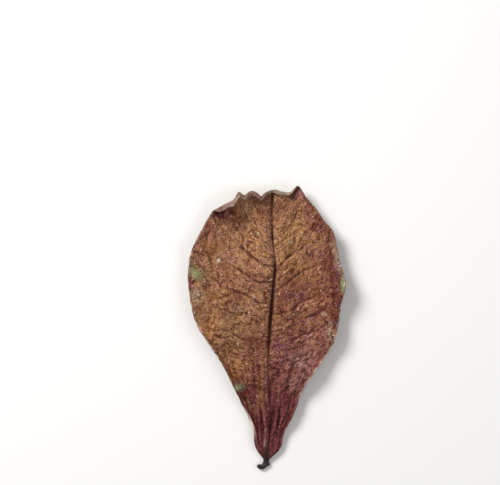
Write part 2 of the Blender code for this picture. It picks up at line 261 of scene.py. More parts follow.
# The veins. The first two lists say where side veins leave the midrib, and the third holds those that
# lie sunk in the upper side: how bold each is, and points of its line in plan. Cross veins run like
# rungs from each side vein to the next. All of them waver a little.
LEFT_VEINS = (14, 30, 48, 66, 83, 98, 113, 130, 140, 159, 174)
RIGHT_VEINS = (14, 30, 48, 66, 83, 98, 109, 124, 140, 159, 174)
SUNK_VEINS = (
    (
        1.0, (4.7, 140.2), (-0.2, 140.6), (-5.2, 142.7), (-11.3, 147.6), (-17.5, 152.6),
        (-20, 155.6), (-24.9, 163),
    ),
    (0.8, (2.2, 158.7), (-1.5, 158.1), (-6.4, 160.6), (-10.1, 165.5), (-13.2, 169.8)),
    (
        1.0, (3.5, 128.5), (-0.2, 128.2), (-6.4, 128.8), (-11.3, 131), (-17.5, 135.3),
        (-23.7, 139.6), (-35.5, 145.2),
    ),
    (
        1.0, (1, 113.7), (-3.9, 112.7), (-7.6, 113.7), (-12.6, 117.4), (-18.7, 119.9),
        (-24.9, 122.3), (-36, 126),
    ),
    (0.6, (-34.2, 126), (-38.5, 129.7), (-48.3, 138.4), (-53.3, 145.8)),
    (0.55, (-3.7, 104.3), (-14, 105), (-23.7, 105.7), (-32.3, 106.6), (-38.5, 110), (-44.6, 113.7)),
    (0.75, (-8.9, 83.5), (-15, 84.7), (-23.7, 89), (-32.3, 92.7), (-39.7, 92.7), (-48.3, 97.7)),
    (0.35, (1, 94), (-3, 92.5), (-6.7, 91), (-12, 91.5)),
    (0.55, (-16.3, 79.2), (-23.7, 78.6), (-29.8, 76.7)),
    (
        1.0, (5.9, 137.6), (10.9, 142.1), (15.8, 147), (19.5, 150), (24.4, 152.6),
        (28.1, 156.3), (33.1, 161.2),
    ),
    (
        1.0, (7.4, 122.8), (11.8, 125.8), (17.6, 130.4), (23.2, 134.1), (28.1, 137.8),
        (39.2, 142.1), (42.9, 147),
    ),
    (0.7, (7.4, 114), (10.9, 114.9), (18.3, 117.4), (24.4, 123.6), (30.6, 126.7), (36.8, 128)),
    (
        0.95, (7.2, 104.5), (15.8, 106.9), (20.7, 110), (24.4, 113.1), (29.4, 116.2),
        (35.5, 118), (41.4, 127.3),
    ),
    (0.75, (3, 91.8), (8.4, 92.7), (17, 95.2), (23.2, 96.4), (30.6, 97.7)),
    (0.8, (22.9, 100.6), (28.1, 102), (34.3, 103.8), (39.2, 106.3), (44.2, 108.2)),
    (0.7, (9.6, 77.7), (18.3, 79.2), (25.7, 81), (30.6, 82.3)),
    (0.55, (5.2, 155.4), (11.8, 159.1), (19.2, 164.3), (25.2, 168.7)),
    (0.4, (5.2, 167.2), (8.4, 168), (14.6, 169.2), (19.5, 170.4), (25.5, 173)),
)
STRETCHES = 24
WAVER = 1.1
FINE_WAVER = 0.8
LINE_WAVER = 0.45
SUNK_VEIN_WIDTH = 0.95
RUNG_SPACING = 4.6
RUNG_WIDTH = 0.42
RUNG_WAVER = 2.2


def midway(veins):
    """The sine that is 0 on each of one side's vein lines and 1 midway between two."""
    edges = np.array((-10,) + veins + (MIDRIB_LENGTH + 8,), float)
    stretch = np.clip(np.searchsorted(edges, wavering) - 1, 0, len(edges) - 2)
    part = (wavering - edges[stretch]) / (edges[stretch + 1] - edges[stretch])
    return np.sin(np.pi * np.clip(part, 0, 1))


def to_line(points):
    """The distance of every grid point to a smooth line through a few points, and where along that
    line, from 0 to 1, its nearest place is. The line is cut in short straight stretches; along each,
    the nearest place is where a grid point lies square to it, or else one of its ends."""
    at = np.linspace(0, len(points) - 1, STRETCHES + 1)
    line_x, line_y = (smooth(range(len(points)), values, at) for values in zip(*points))
    nearest = np.full(x.shape, np.inf)
    place = np.zeros(x.shape)
    for number in range(STRETCHES):
        run_x, run_y = line_x[number + 1] - line_x[number], line_y[number + 1] - line_y[number]
        off_x, off_y = bent_x - line_x[number], bent_y - line_y[number]
        part = np.clip((off_x * run_x + off_y * run_y) / (run_x**2 + run_y**2), 0, 1)
        gap = np.hypot(off_x - part * run_x, off_y - part * run_y)
        place = np.where(gap < nearest, (number + part) / STRETCHES, place)
        nearest = np.minimum(gap, nearest)
    return nearest, place


wavering = along + out * (WAVER * noise(x, y, 16, 5) + FINE_WAVER * noise(x, y, 6, 6)) * (1 - spots)
between = by_side(midway(LEFT_VEINS), midway(RIGHT_VEINS))
bent_x = x + LINE_WAVER * noise(x, y, 7, 52)
bent_y = y + LINE_WAVER * noise(x, y, 7, 53)
vein_gap = np.full(x.shape, np.inf)
side_vein = np.zeros(x.shape)
for boldness, *points in SUNK_VEINS:
    gap, place = to_line(points)
    depth = boldness * (0.65 + 0.4 * bump(place, 0.45, 0.35)) * (1 - ramp(place, 0.84, 1))
    side_vein = np.maximum(side_vein, depth * bump(gap, 0, SUNK_VEIN_WIDTH))
    vein_gap = np.minimum(vein_gap, gap)
side_vein = side_vein * np.clip(0.9 + 0.8 * noise(x, y, 5, 9), 0.4, 1)
rung_place = (from_midrib + RUNG_WAVER * noise(x, y, 9, 8)) / RUNG_SPACING
rung = bump(abs(rung_place - np.rint(rung_place)) * RUNG_SPACING, 0, RUNG_WIDTH)
rung = rung * ramp(width, 14, 34) * ramp(from_midrib, 2, 5) * ramp(1 - out, 0, 0.12)
midrib = bump(x, mid_x, 0.7 + 0.8 * bump(y, 104, 38)) * ramp(y, 34, 62)

# The curl, in heights: an arched midrib with a shoulder and a hollow on each side, and turned-up waved
# margins, which flare low on the left and halfway up the right. All but the arch fades where the
# blade is narrow.
ARCH = 4.2
ARCH_START = -14
ARCH_LENGTH = 236
SHOULDER = 1.5
HOLLOW = 1.6
DEEP_HOLLOW = 3.1
TURN_STARTS = 0.62
TURNED_UP_LEFT = 5.2
TURNED_UP_RIGHT = 5.8
FLARE = 3.4
MARGIN_WAVE = 1.2
NARROWEST_CURL = 3
FULL_CURL = 34

room = ramp(width, NARROWEST_CURL, FULL_CURL)
arch = ARCH * np.sin(np.pi * np.clip((along - ARCH_START) / ARCH_LENGTH, 0, 1))
shoulder = SHOULDER * bump(out, 0.2, 0.14) * ramp(along, 40, 90)
hollow = (HOLLOW + DEEP_HOLLOW * bump(along, by_side(134, 128), 42)) * bump(out, by_side(0.6, 0.56), 0.26)
past_turn = np.clip((out - TURN_STARTS) / (1 - TURN_STARTS), 0, 1)
turned = by_side(TURNED_UP_LEFT, TURNED_UP_RIGHT) * past_turn**2
flared = FLARE * ramp(out, 0.84, 1) * by_side(bump(along, 60, 22), bump(along, 112, 20))
waves = MARGIN_WAVE * out**4 * by_side(np.sin(along / 4.9 + 0.6), np.sin(along / 4.4 + 2.2))
curl = arch + room * (shoulder - hollow + turned + flared + waves)

# The relief, in heights: swellings between the veins, pleats towards the stalk, puckers, and the
# crumple of the dried blade, which is the absolute value of noise, so that its creases are sharp and
# its swellings round. The midrib is a ridge near the stalk and lies in a valley above that. The tip
# lifts towards the roll, with a small pocket at its left end. Grooves run over the veins and along a
# fold that follows the right margin, whose plan points are given, and the crumple is less near a vein.
SWELL = 0.95
PLEAT = 0.85
PLEATS_ACROSS = 2.6
FINE_PLEAT = 0.32
SMALL_PUCKER = 0.25
LARGE_PUCKER = 0.22
WIDE_FOLD = 1.5
FINE_FOLD = 0.85
TINY_FOLD = 0.5
MEAN_FOLD = 0.8
MIDRIB_RIDGE = 1
MIDRIB_VALLEY = 0.9
POCKET = 0.4
TIP_LIFT = 2.4
REST_SPOT_DEPTH = 0.7
MARGIN_FOLD = ((54.8, 100), (49.8, 116), (48, 130), (47.2, 140), (46.8, 161))
MARGIN_FOLD_WIDTH = 0.8
VEIN_GROOVE = 0.9
RUNG_GROOVE = 0.12
MIDRIB_GROOVE = 0.6
MARGIN_GROOVE = 0.6

swell = SWELL * between * ramp(out, 0, 0.22) * (1 - ramp(out, 0.8, 1)) * ramp(along, 20, 60)
pleat_depth = PLEAT * ramp(y, 4, 34) * (1 - ramp(y, 62, 104)) * (1 - 0.4 * out)
pleats = pleat_depth * np.cos(2 * np.pi * (PLEATS_ACROSS * out + 0.16 * across))
fine_pleats = FINE_PLEAT * ramp(y, -2, 12) * (1 - ramp(y, 56, 100))
fine_pleats = fine_pleats * np.sin(x * 12.5 / (4 + 0.14 * width) + noise(x, y, 14, 14))
small_pucker = np.sin(x / 3.1 + 1.3 * np.sin(y / 9.7)) * np.sin(y / 3.7 + 0.9 * np.sin(x / 8.3))
large_pucker = np.sin((x + y) / 5.3 + 0.7) * np.sin((x - 0.8 * y) / 4.6 + 1.9)
puckers = SMALL_PUCKER * small_pucker + LARGE_PUCKER * large_pucker
puckers = puckers * ramp(out, 0, 0.15) * ramp(y, 20, 60)

from_rib = from_midrib + 2.6 * noise(x, y, 8, 21)
up_leaf = wavering + by_side(0, 230) + 2.6 * noise(x, y, 8, 22)
wide_fold = noise(0.75 * from_rib, up_leaf, 6.2, 11)
fine_fold = noise(0.85 * from_rib, up_leaf, 3.3, 12)
tiny_fold = noise(from_rib, up_leaf, 2, 13)
calm = 1 - 0.65 * bump(vein_gap, 0, 2.6)
broad = 0.3 + 0.7 * ramp(width, 14, 42)
crumple = WIDE_FOLD * abs(wide_fold) + FINE_FOLD * abs(fine_fold) + TINY_FOLD * abs(tiny_fold)
crumple = (crumple - MEAN_FOLD) * calm * ramp(from_midrib, 0.4, 3) * broad

ridge = MIDRIB_RIDGE * bump(x, mid_x - 0.7, 1.8) * (1 - ramp(y, 30, 62))
valley = MIDRIB_VALLEY * bump(x, mid_x, 2) * ramp(y, 40, 70)
pocket = POCKET * bump(x, -27, 8) * bump(y, 178, 7)
lift = TIP_LIFT * ramp(y, 168, 196)
body = curl + lift + pleats + fine_pleats + ridge - valley - pocket - REST_SPOT_DEPTH * spots
body = body + (1 - spots) * (swell + puckers + crumple)

fold_x, fold_y = zip(*MARGIN_FOLD)
margin_fold_x = smooth(fold_y, fold_x, np.clip(y, fold_y[0], fold_y[-1]))
margin_fold = bump(x + 1.2 * noise(0 * x, y, 8, 18), margin_fold_x, MARGIN_FOLD_WIDTH)
margin_fold = margin_fold * np.clip(0.6 + noise(x, y, 6, 17), 0, 1)
margin_fold = margin_fold * ramp(y, 100, 106) * (1 - ramp(y, 156, 163))
grooves = VEIN_GROOVE * side_vein + RUNG_GROOVE * rung + MIDRIB_GROOVE * midrib + MARGIN_GROOVE * margin_fold

# The roll at the tip, and the thickness: the lower side lies square below the upper one, and its
# midrib, side veins and cross veins stand out from it.
ROLL_RADIUS = 2
ROLL_TURN = np.radians(165)
BLADE = 0.5
RIM = 0.34
MIDRIB_DEPTH = 2.3
SIDE_RIB_DEPTH = 0.8
SIDE_RIB_WIDTH = 0.8
RUNG_DEPTH = 0.16


def rolled(z):
    """Beyond the crest the blade turns up round an arc, and then runs straight back over itself: the
    distance past the crest is spent first on the arc and what is left of it on the straight."""
    beyond = np.maximum(y - crest, 0)
    turn = np.minimum(beyond / ROLL_RADIUS, ROLL_TURN)
    rest = beyond - turn * ROLL_RADIUS
    new_y = y - beyond + ROLL_RADIUS * np.sin(turn) + rest * np.cos(turn)
    new_z = z + ROLL_RADIUS * (1 - np.cos(turn)) + rest * np.sin(turn)
    return np.stack([x, new_y, new_z], axis=-1)


def normals(points):
    """Unit normals of a grid of points: the cross product of its two slopes."""
    found = np.cross(np.gradient(points, axis=1), np.gradient(points, axis=0))
    return found / np.maximum(np.linalg.norm(found, axis=-1, keepdims=True), 1e-12)


upper = rolled(body - grooves)
plain = rolled(body)
wall = RIM + (BLADE - RIM) * ramp(from_margin, 0, 6)
lower = upper - normals(plain) * wall[..., None]
taper = 1 - 0.85 * ramp(along, 0, 190)
rib = MIDRIB_DEPTH * taper * np.clip(1 - ((x - mid_x) / (1.1 + 1.3 * taper)) ** 2, 0, 1)
side_rib = SIDE_RIB_DEPTH * ramp(along, 20, 90) * bump(vein_gap, 0, SIDE_RIB_WIDTH)
side_rib = side_rib * (1 - 0.8 * out) * (1 - ramp(out, 0.85, 0.97))
below = np.maximum(rib, side_rib * (1 - spots)) + RUNG_DEPTH * rung * (1 - spots)
below = below * (1 - ramp(along, 184, 196))
lower[..., 2] -= below


# Letting the leaf down: it tips onto the low spot of each side hollow and onto its stalk, and what
# touches is pressed flat. Only the leaf's larger form settles how it tips, as if it were uncrumpled.
# The stalk's centre line and radius are needed for that, so they come here: points of the line, and
# the radius at each. The line takes its height from the midrib, STALK_JOINS up it, and drops from
# there. Each of the three feet is pressed a little below the floor's level before it is made flat.
STALK = (
    (-0.2, 16, 1.1), (-0.3, 8, 1.7), (-0.4, 1, 2.1), (-0.7, -3.5, 2), (-1.6, -7, 1.8),
    (-3.6, -8.9, 1.7), (-5.6, -8.3, 1.8), (-6.3, -6.9, 1.5),
)
STALK_RINGS = 120
STALK_SIDES = 64
STALK_JOINS = 8
STALK_SUNK = 1.6
STALK_DROP = 1.6
SCAR_ROUNDING = 1.1
FURROW = 0.07
FINE_FURROW = 0.05
KNOB = 0.09
SPUR = 0.95
FEET_PRESSED = (0.7, 1.2, 0.8)

stalk_knots = np.arange(len(STALK))
stalk_at = np.linspace(0, len(STALK) - 1, STALK_RINGS)
stalk_x, stalk_y, stalk_radius = (smooth(stalk_knots, values, stalk_at) for values in zip(*STALK))
start_row = int(np.argmin(abs(along[:, 0] - STALK_JOINS)))
stalk_z = body[start_row, COLUMNS // 2] - STALK_SUNK - STALK_DROP * ramp(stalk_y, 14, -6)
stalk_centre = np.stack([stalk_x, stalk_y, stalk_z], axis=-1)


def frames(line):
    """For each point of a line: a unit vector square to it that lies level, and one square to both."""
    tangent = np.gradient(line, axis=0)
    level = np.stack([tangent[:, 1], -tangent[:, 0], np.zeros(len(line))], axis=1)
    level /= np.linalg.norm(level, axis=1, keepdims=True)
    upright = np.cross(level, tangent)
    return level, upright / np.linalg.norm(upright, axis=1, keepdims=True)


# Rings round that line. The furrows are sines round the stalk that twist along it, and the radius
# closes as a quarter circle at the scar, where the stalk broke from its twig. A spur stands out on the
# right of the hook. Furrows, knobs and spur are given as parts of the radius.
angle = np.linspace(0, 2 * np.pi, STALK_SIDES, endpoint=False)
run = np.concatenate([[0], np.cumsum(np.linalg.norm(np.diff(stalk_centre, axis=0), axis=1))])
from_scar = np.clip((run[-1] - run) / SCAR_ROUNDING, 0, 1)
closing = np.sqrt(1 - (1 - from_scar) ** 2)
furrow = FURROW * np.sin(7 * angle + 0.35 * run[:, None])
furrow = furrow + FINE_FURROW * np.sin(11 * angle - 0.2 * run[:, None] + 1)
knob = KNOB * noise(2.2 * np.cos(angle) + run[:, None], 2.2 * np.sin(angle) + 0 * run[:, None], 1.3, 31)
spur = SPUR * bump(angle, np.pi, 0.55) * bump(stalk_at, 3.75, 0.32)[:, None]
stalk_wall = (stalk_radius * closing)[:, None] * (1 + furrow + knob * ramp(run, 4, 14)[:, None] + spur)
level, upright = frames(stalk_centre)
stalk_rings = stalk_centre[:, None] + stalk_wall[..., None] * (
    np.cos(angle)[:, None] * level[:, None] + np.sin(angle)[:, None] * upright[:, None]
)


def lowest(points, chosen):
    """The lowest of the chosen points."""
    found = points[chosen]
    return found[np.argmin(found[:, 2])]


uncrumpled = lower.copy()
uncrumpled[..., 2] -= (1 - spots) * crumple + 0.25 * spots
low_side = uncrumpled.reshape(-1, 3)
ring_points = stalk_rings.reshape(-1, 3)
beyond_middle = low_side[:, 1] > 100
feet = np.array([
    lowest(low_side, beyond_middle & (low_side[:, 0] < -12)),
    lowest(low_side, beyond_middle & (low_side[:, 0] > 18)),
    lowest(ring_points, ring_points[:, 1] < 0),
])
surface_under = feet[:, 2] + FEET_PRESSED
slope_x, slope_y, floor_level = np.linalg.solve(np.c_[feet[:, :2], np.ones(3)], surface_under)
for points in (upper, lower, stalk_rings):
    points[..., 2] -= slope_x * points[..., 0] + slope_y * points[..., 1] + floor_level
pressed = np.maximum(-lower[..., 2], 0)
upper[..., 2] += pressed
lower[..., 2] += pressed
stalk_rings[..., 2] = np.maximum(stalk_rings[..., 2], 0)

leaf_low, leaf_high = (np.array(corner)[:2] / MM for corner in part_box("leaf"))
made = np.concatenate([upper.reshape(-1, 3), lower.reshape(-1, 3), stalk_rings.reshape(-1, 3)])[:, :2]
shift = (leaf_low + leaf_high) / 2 - (made.min(axis=0) + made.max(axis=0)) / 2
for points in (upper, lower, stalk_rings):
    points[..., :2] += shift

# What colours the blade: shares from 0 to 1 on every point of its two sides, worked out from how deep
# a point lies below its surroundings, which gives painted shade, from the veins, from where the leaf
# turned another colour, and from patches of painted light and painted shade.
# A patch of colour is given by its strength, its middle and width across the leaf, its middle and
# width along it, and how far it leans to the right on the way up; one of negative strength takes that
# colour away. A spot is given by its strength, its middle, the radius where it ends, the radius within
# which it is whole, and how far it is flattened. The midrib's line is darker, or fainter, along bells.
CAVITY_REACH = 3
CAVITY_DEPTH = 0.42
TAN_PATCHES = ((1, -5.4, 3.6, 44, 17), (0.9, -13.4, 3.4, 37, 7), (0.8, -23, 8, 64, 10))
# The base patch and the second purple patch deepen the maroon beneath the roll's left end: partly the leaf's
# colour, partly painted shade.
BASE_PATCH = (0.85, -34, 7.33, 180, 4.4)
PURPLE_PATCHES = (
    (0.5, -10.4, 2.2, 54, 12), (1.1, -33, 7.5, 180, 4.5), (-0.4, -33, 9, 72, 15),
    (-0.7, -23, 9, 67, 12), (-0.4, -42, 8, 95, 16), (-0.5, 21, 6, 136, 6),
)
VIOLET_PATCHES = (
    (0.66, 36, 8, 149, 10), (0.5, 27, 3.4, 131, 3.4), (0.8, 19, 11, 118, 5), (0.9, 51.5, 3.5, 134, 34),
    (0.6, -28, 5, 114, 5), (1.2, 24, 7, 195, 7), (0.85, 9, 6, 74, 20), (0.35, -47, 5, 160, 12),
)
RUST_PATCH = (1, -18, 8, 178, 7)
RUST_GAP = (0.5, 24, 9, 112, 9)
# Patches of painted shade.
PAINTED_SHADE_PATCHES = (
    (0.8, 4, 9, 183, 8), (0.7, -23, 6, 118, 6), (0.65, -9, 9, 82, 11), (0.4, 8, 7, 113, 15),
    (0.6, -5, 4.5, 180, 5), (0.4, -14, 5, 144, 5), (0.4, 40, 7, 126, 6), (0.35, 2, 5, 88, 9),
    (0.3, -5, 4, 18, 10), (-0.3, -42, 9, 95, 14), (0.3, 0, 7, 162, 6), (0.25, 12, 6, 127, 5),
)
# Patches of painted light on spots that lie in shade, such as beside the roll and on the steep left margin.
PAINTED_LIGHT_PATCHES = (
    (0.34, -18, 8, 180, 6), (0.36, -41, 5, 153, 6), (0.3, 21, 6, 135, 5), (0.14, 12, 10, 144, 6),
    (0.34, -38, 8, 117, 6), (0.34, -39, 7, 96, 8), (0.34, -23, 6, 64, 8),
)
OLIVE_PATCHES = ((1, -27, 24, 98, 34), (0.3, 2, 16, 168, 26))
# Two of the ochre patches, the one at -12, 184 beside the roll and the one at -41, 153 on the left margin,
# also lift spots out of shade: painted light.
OCHRE_PATCHES = (
    (1.3, 17, 13, 164, 15), (0.9, -12, 14, 156, 20), (0.8, -45, 9, 92, 14), (0.5, 26, 9, 96, 9),
    (1.2, -12, 7, 184, 7), (0.5, -33, 9, 74, 14), (0.6, 16, 13, 144, 8), (0.8, -41, 6, 98, 12),
    (0.6, 22, 6, 136, 6), (0.7, -41, 6, 153, 7),
)
GREEN_PATCHES = ((1, -53, 3.78, 135, 4.25, -0.556), (1, 56, 1.8, 127, 6), (1.1, -21.5, 3.6, 50.5, 2.2, 0.5))
PALE_SPOTS = (
    (1.2, -36, 144.4, 2, 1.1), (0.25, 41.6, 105, 2.4, 1.1), (0.5, 17.5, 158, 2.4, 0.8, 1.6),
    (0.4, -7, 164.5, 1.8, 0.6),
)
DUSTY_PATCHES = ((0.35, 31, 11, 76, 15), (0.25, 21, 7, 72, 7))
MIDRIB_SHADES = ((114, 1, 32), (163, 0.4, 6), (137, 0.25, 6), (149, -0.3, 5))


def softened(heights, reach):
    """The mean of each height and its neighbours within reach, along the rows and then the columns."""
    for axis in (0, 1):
        padded = np.pad(heights, [(reach + 1, reach) if a == axis else (0, 0) for a in (0, 1)], "edge")
        totals = np.cumsum(padded, axis=axis)
        span = 2 * reach + 1
        ends = np.take(totals, range(span, totals.shape[axis]), axis)
        heights = (ends - np.take(totals, range(totals.shape[axis] - span), axis)) / span
    return heights


def patch(strength, middle_x, width_x, middle_y, width_y, lean=0):
    """A soft oval: its strength times a bell across the leaf and a bell along it."""
    return strength * bump(x - lean * (y - middle_y), middle_x, width_x) * bump(y, middle_y, width_y)


def patches(rows):
    """The sum of several patches."""
    return sum(patch(*row) for row in rows)


def spot(strength, middle_x, middle_y, end, whole, flattened=1):
    """A round or flattened spot: its strength times a ramp on the distance from its middle."""
    return strength * ramp(np.hypot(x - middle_x, flattened * (y - middle_y)), end, whole)


def uneven(mean, depth, size, seed):
    """A factor that breaks a patch up: its mean, plus noise of that size times the depth."""
    return mean + depth * noise(x, y, size, seed)


def on_top(values):
    """A share of the upper side alone, as its values on the upper and on the lower side."""
    return np.clip(values, 0, 1), 0 * x


# Painted shade in hollows and creases, and the painted veins. The midrib's dark line leaves its middle
# towards the stalk, where the ridge is pale and its right flank is darkened with painted shadow.
relief = body - grooves
hollow_shade = (softened(relief, CAVITY_REACH) - relief) / CAVITY_DEPTH
# Painted shade along the valleys of the crumple's folds and in the right margin's fold.
fold_shade = bump(wide_fold, 0, 0.14) * np.clip(uneven(0.35, 1.4, 9, 15), 0, 1) * ramp(from_midrib, 1, 4)
fold_shade = np.maximum(fold_shade, 0.7 * bump(fine_fold, 0, 0.17) * np.clip(uneven(0.2, 1.4, 7, 16), 0, 1))
fold_shade = np.maximum(fold_shade * calm * broad, 0.7 * margin_fold)
# Near the stalk the line shifts onto the ridge's right flank, where it is painted shadow; elsewhere it is the
# midrib's own dark colour.
flank = 0.5 * (1 - ramp(y, 40, 80)) + 1.9 * (1 - ramp(y, 32, 52)) * ramp(y, 4, 18) + 0.6 * bump(y, 147, 14)
midrib_line_and_flank_shade = bump(x, mid_x + flank, 0.7 + 0.6 * bump(y, 102, 40)) * (0.62 + bells(y, MIDRIB_SHADES))

# Wine red towards the stalk, with tan streaks in it. Purple from there up the right half and along
# both margins, violet blotches, rust up the right half, and olive and ochre on the left and the top.
tan = patches(TAN_PATCHES)
base_share = (1 - ramp(y, 12, 84)) * np.clip(1 - 0.85 * tan, 0, 1) + patch(*BASE_PATCH)
purple = (
    0.95 * base_share
    + 0.45 * (1 - ramp(y, 60, 110)) * (1 - tan)
    + 0.34 * right * (1 - ramp(y, 136, 176))
    + 0.45 * right * ramp(out, 0.02, 0.3) * (1 - ramp(y, 84, 132))
    + right * ramp(out, 0.7, 0.96) * ramp(y, 60, 90) * (1 - 0.3 * ramp(y, 150, 170))
    + 0.4 * ~right * ramp(out, 0.84, 1) * ramp(y, 96, 120)
    + patches(PURPLE_PATCHES)
    + 0.3 * noise(x, y, 11, 41)
    + 0.12 * noise(x, y, 4, 42)
)
violet = patches(VIOLET_PATCHES)
rust = right * ramp(out, 0.03, 0.3) * bump(y, 122, 34) * (1 - patch(*RUST_GAP)) + patch(*RUST_PATCH)
olive = patches(OLIVE_PATCHES)
ochre = patches(OCHRE_PATCHES) + 0.5 * tan

# Painted shade and painted light. The painted shade lies along the margins, under the roll and in the
# shade of larger folds, and the painted light brightens small spots left in shade.
shade_left = 0.22 * (1 - ramp(y, 84, 128)) + 0.4 * bump(y, 38, 20)
shade_right = 0.74 * ramp(out, 0.72, 0.95) * bump(y, 128, 44) + 0.42 * bump(y, 36, 20)
painted_shade = by_side(shade_left, shade_right) + 0.14 * bump(y, 116, 30) + patches(PAINTED_SHADE_PATCHES)
painted_light = patches(PAINTED_LIGHT_PATCHES)

# Where the skin has worn: dusty pink beside the midrib and on the lower right, and pale spots and
# speckled patches, one of which, beside the roll, is painted light. The pale rims of both margins are
# painted highlights on their lit edges. The green patches kept their chlorophyll.
dusty = (
    bump(x, mid_x - 1.5, 0.8) * uneven(0.35, 1, 5, 47) * (1 - ramp(y, 50, 90))
    + 0.6 * bump(x, mid_x + 1.3, 0.6) * ramp(y, 110, 150) * uneven(0.5, 1, 6, 48)
    + 0.7 * bump(x, mid_x - 0.9, 0.8) * bump(y, 149, 7)
    + patches(DUSTY_PATCHES)
)
pale = (
    sum(spot(*row) for row in PALE_SPOTS)
    + patch(0.7, 57, 1, 126, 7) * uneven(0.6, 0.8, 2, 55)
    # Painted light: this patch lifts the spot beside the roll out of the roll's shade.
    + patch(0.2, -15, 5.5, 182, 5.5) * uneven(0.6, 0.9, 2.2, 56)
    + patch(0.65, 45.5, 2.8, 92, 7) * uneven(0.3, 1.6, 1.7, 43)
    + patch(0.95, -52, 4, 119, 4.5) * uneven(0.2, 1.7, 1.5, 44)
    + 0.4 * right * ramp(out, 0.9, 0.97) * bump(y, 148, 12) * uneven(0.7, 0.6, 2.5, 45)
)
# Painted highlights on the lit rims of both margins, and two patches of pale specks.
rim_highlights_and_specks = (
    1.2 * ramp(from_margin, 2.2, 1.1) * ~right * bump(y, 24, 9)
    + 0.7 * ramp(from_margin, 1.3, 0.5) * ~right * ramp(y, 118, 140) * uneven(0.5, 0.8, 3, 49)
    + 0.8 * ramp(from_margin, 1.2, 0.4) * ~right * bump(y, 84, 24) * uneven(0.6, 0.9, 5, 51)
    + 1.1 * ramp(from_margin, 1.4, 0.5) * right * bump(y, 71, 24) * uneven(0.7, 0.8, 5, 57)
    + patch(0.5, 19, 5, 54, 6) * uneven(0.1, 1.8, 1.6, 50)
    + patch(0.5, 24, 6, 68, 5) * uneven(0.1, 1.8, 1.3, 58)
)
green = patches(GREEN_PATCHES) * uneven(0.9, 0.6, 1.8, 46)

# The end at the stalk is near black, and so is the midrib close to it. The under side shows at the
# roll, where it has paler and more violet parts.
burnt = np.maximum(1 - ramp(y, -3.5, 3), 0.9 * bump(x, mid_x, 1.9) * (1 - ramp(y, 0, 13)))
burnt_below = np.maximum(burnt, bump(x, mid_x, 2.4) * (1 - ramp(y, 10, 44)))
past_crest = ramp(y - crest, -3, 2)
pale_below = past_crest * (0.8 * bump(x, 14, 9) + bump(x, -24, 5) * uneven(0.3, 1.6, 1.5, 54))
violet_below = 0.8 * bump(x, -25, 7) * past_crest

shares = {
    "under": (np.zeros_like(x), np.ones_like(x)),
    # Painted shade in the upper side's hollows and creases; on the under side this share darkens the cross
    # veins.
    "hollow_shade": (np.clip(hollow_shade, 0, 1), 0.4 * rung),
    "painted_fold_shade": on_top(fold_shade),
    "rib": (0 * x, np.clip(below / 0.9, 0, 1)),
    "vein": on_top(1.15 * side_vein**1.5),
    "midrib": on_top(midrib_line_and_flank_shade),
    "dusty": on_top(dusty),
    "purple": (np.clip(purple, 0, 1), np.clip(purple, 0, 1)),
    "base": (np.clip(base_share, 0, 1), 0.35 + 0 * x),
    "violet": (np.clip(violet, 0, 1), violet_below),
    "rust": on_top(rust),
    "painted_shade": on_top(painted_shade),
    "painted_light": on_top(painted_light),
    "olive": (np.clip(olive, 0, 1), np.clip(olive, 0, 1)),
    "ochre": on_top(ochre),
    "pale": (np.clip(pale, 0, 1), np.clip(pale_below, 0, 1)),
    "green": on_top(green),
    "burnt": (burnt, burnt_below),
    "rim_highlights_and_specks": on_top(rim_highlights_and_specks),
}


def grid_faces(rows, columns):
    """The corners of each square of a grid, counter-clockwise."""
    number = np.arange(rows * columns).reshape(rows, columns)
    corners = (number[:-1, :-1], number[:-1, 1:], number[1:, 1:], number[1:, :-1])
    return np.stack([corner.ravel() for corner in corners], axis=1)


def new_piece(name, points, faces, material):
    """A smooth piece of the leaf from points in millimetres and four-cornered faces."""
    mesh = bpy.data.meshes.new(name)
    mesh.vertices.add(len(points))
    mesh.vertices.foreach_set("co", (points * MM).astype(np.float32).ravel())
    mesh.loops.add(faces.size)
    mesh.loops.foreach_set("vertex_index", faces.astype(np.int32).ravel())
    mesh.polygons.add(len(faces))
    mesh.polygons.foreach_set("loop_start", np.arange(0, faces.size, 4, dtype=np.int32))
    mesh.update(calc_edges=True)
    mesh.validate()
    mesh.shade_smooth()
    mesh.materials.append(material)
    piece = bpy.data.objects.new(name, mesh)
    bpy.context.scene.collection.objects.link(piece)
    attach(piece, "root")
    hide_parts("leaf")
    return piece


def give(piece, name, values):
    """Puts one number, or one vector, on every point of a piece, for its material to read."""
    kind, key = ("FLOAT_VECTOR", "vector") if values.ndim == 2 else ("FLOAT", "value")
    stored = piece.data.attributes.new(name, kind, "POINT")
    stored.data.foreach_set(key, values.astype(np.float32).ravel())


# The closed blade: the upper grid, the lower one turned over, and a strip between their margins.
top_faces = grid_faces(*x.shape)
number = np.arange(x.size).reshape(x.shape)
border = np.concatenate([number[0, :-1], number[:-1, -1], number[-1, :0:-1], number[:0:-1, 0]])
after = np.roll(border, -1)
rim_faces = np.stack([border, border + x.size, after + x.size, after], axis=1)
blade_faces = np.concatenate([top_faces, top_faces[:, ::-1] + x.size, rim_faces])
blade_points = np.concatenate([upper.reshape(-1, 3), lower.reshape(-1, 3)])

